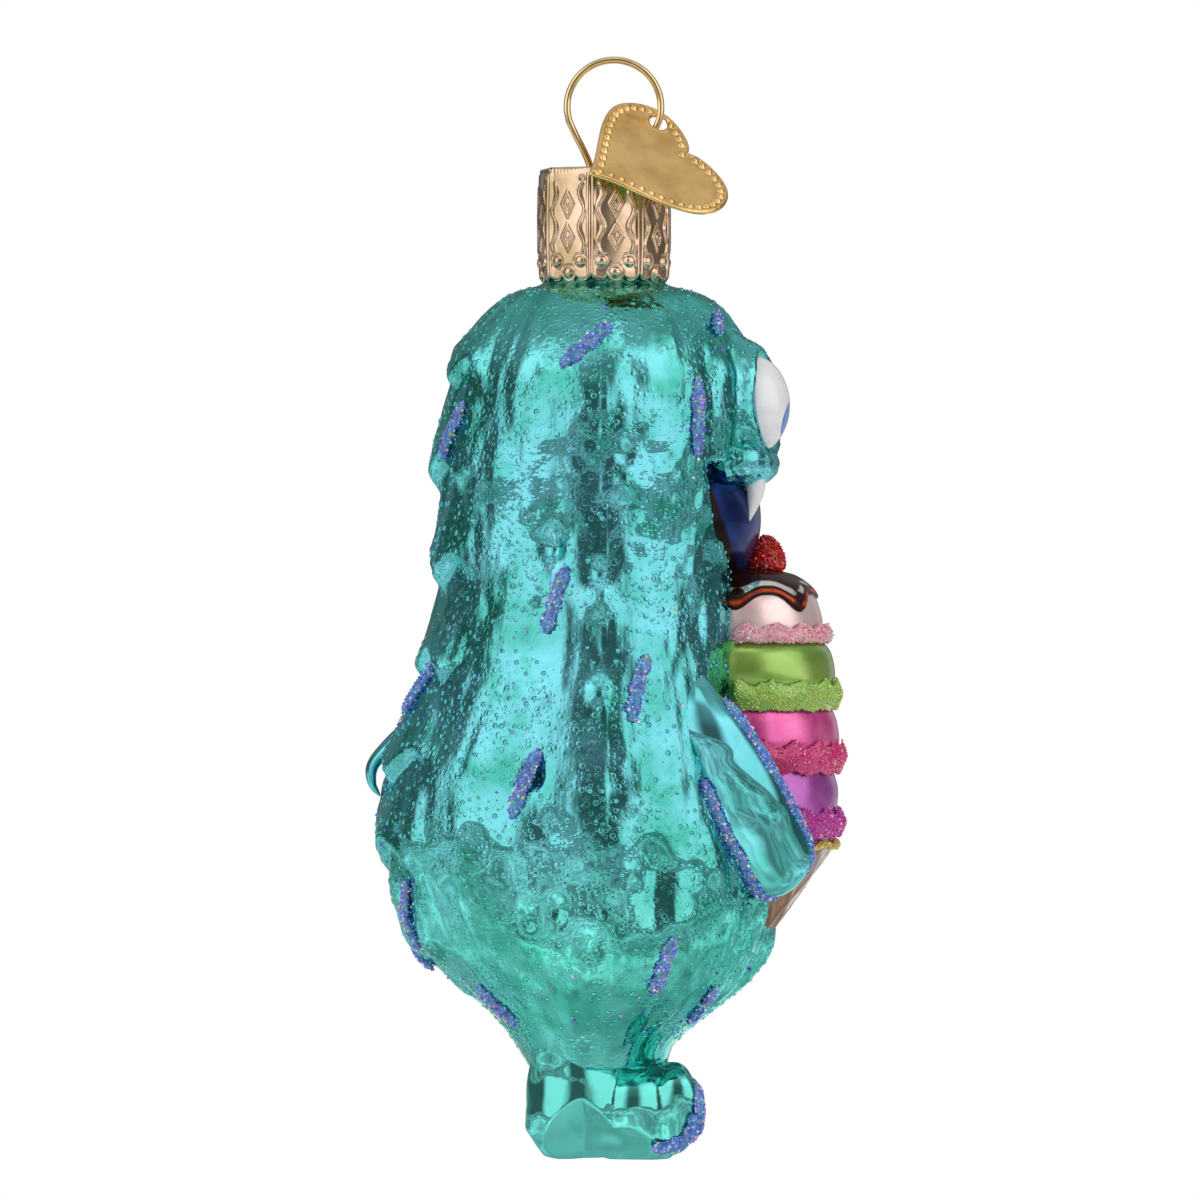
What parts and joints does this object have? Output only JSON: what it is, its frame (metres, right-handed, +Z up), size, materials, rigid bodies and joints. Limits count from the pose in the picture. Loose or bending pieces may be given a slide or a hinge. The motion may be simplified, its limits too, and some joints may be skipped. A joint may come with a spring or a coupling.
{
  "type": "glass monster ornament",
  "caption": "Hanging mirrored-glass ornament: a furry teal monster holding an ice cream, with a folded metal cap, a wire hanger loop, a heart tag and glitter lines.",
  "frame": {"origin": "the point at the inside top of the hanger's loop, where a hook or twig carries the ornament", "axes": "+Z up, against the pull of gravity; +X the way the figure faces; +Y to the figure's own left"},
  "size_m": [0.0485, 0.0448, 0.1099],
  "materials": {
    "silvered_teal_glass": "blown glass, silvered inside and lacquered teal, with a fine beaded texture",
    "rose_brass_cap": "thin folded sheet, bright",
    "gold_wire": "bright drawn wire",
    "brushed_tag": "brushed, embossed",
    "violet_glitter": "fine glitter",
    "rose_glitter": "fine glitter",
    "lime_glitter": "fine glitter",
    "pink_glitter": "fine glitter",
    "magenta_glitter": "fine glitter",
    "gold_glitter": "fine glitter",
    "red_glitter": "fine glitter"
  },
  "bodies": {
    "glass": {"glass_body": "silvered_teal_glass", "arm_lower_glitter_left": "violet_glitter", "arm_lower_glitter_right": "violet_glitter", "arm_upper_glitter_left": "violet_glitter", "arm_upper_glitter_right": "violet_glitter", "back_glitter_left": "violet_glitter", "back_glitter_right": "violet_glitter", "cherry_glitter": "red_glitter", "cone_rim_glitter": "gold_glitter", "crown_glitter_left": "violet_glitter", "crown_glitter_right": "violet_glitter", "flank_glitter_left": "violet_glitter", "flank_glitter_right": "violet_glitter", "forehead_glitter_left": "violet_glitter", "forehead_glitter_right": "violet_glitter", "frill_glitter_1": "rose_glitter", "frill_glitter_2": "lime_glitter", "frill_glitter_3": "pink_glitter", "frill_glitter_4": "magenta_glitter", "groin_glitter_left": "violet_glitter", "groin_glitter_right": "violet_glitter", "hip_glitter_left": "violet_glitter", "hip_glitter_right": "violet_glitter", "nape_glitter_left": "violet_glitter", "nape_glitter_right": "violet_glitter", "rump_glitter_left": "violet_glitter", "rump_glitter_right": "violet_glitter", "seat_glitter_left": "violet_glitter", "seat_glitter_right": "violet_glitter", "shoulder_glitter_left": "violet_glitter", "shoulder_glitter_right": "violet_glitter", "side_glitter_left": "violet_glitter", "side_glitter_right": "violet_glitter", "temple_glitter_left": "violet_glitter", "temple_glitter_right": "violet_glitter", "toe_glitter_1_left": "violet_glitter", "toe_glitter_1_right": "violet_glitter", "toe_glitter_2_left": "violet_glitter", "toe_glitter_2_right": "violet_glitter", "toe_glitter_3_left": "violet_glitter", "toe_glitter_3_right": "violet_glitter"},
    "cap": {"crown_cap": "rose_brass_cap"},
    "hanger": {"hanger_wire": "gold_wire"},
    "tag": {"heart_tag": "brushed_tag"}
  },
  "joints": [
    {"name": "cap_lift", "type": "slide", "parent": "glass", "child": "cap", "axis": [0, 0, 1], "range_m": [0, 0.014]},
    {"name": "hanger_slide", "type": "slide", "parent": "cap", "child": "hanger", "axis": [0, 0, 1], "range_m": [0, 0.003]},
    {"name": "tag_swing", "type": "hinge", "parent": "hanger", "child": "tag", "pos_m": [0.00446, 0, -0.00602], "axis": [0.342, 0, 0.9397], "range_deg": [0, 150]}
  ]
}
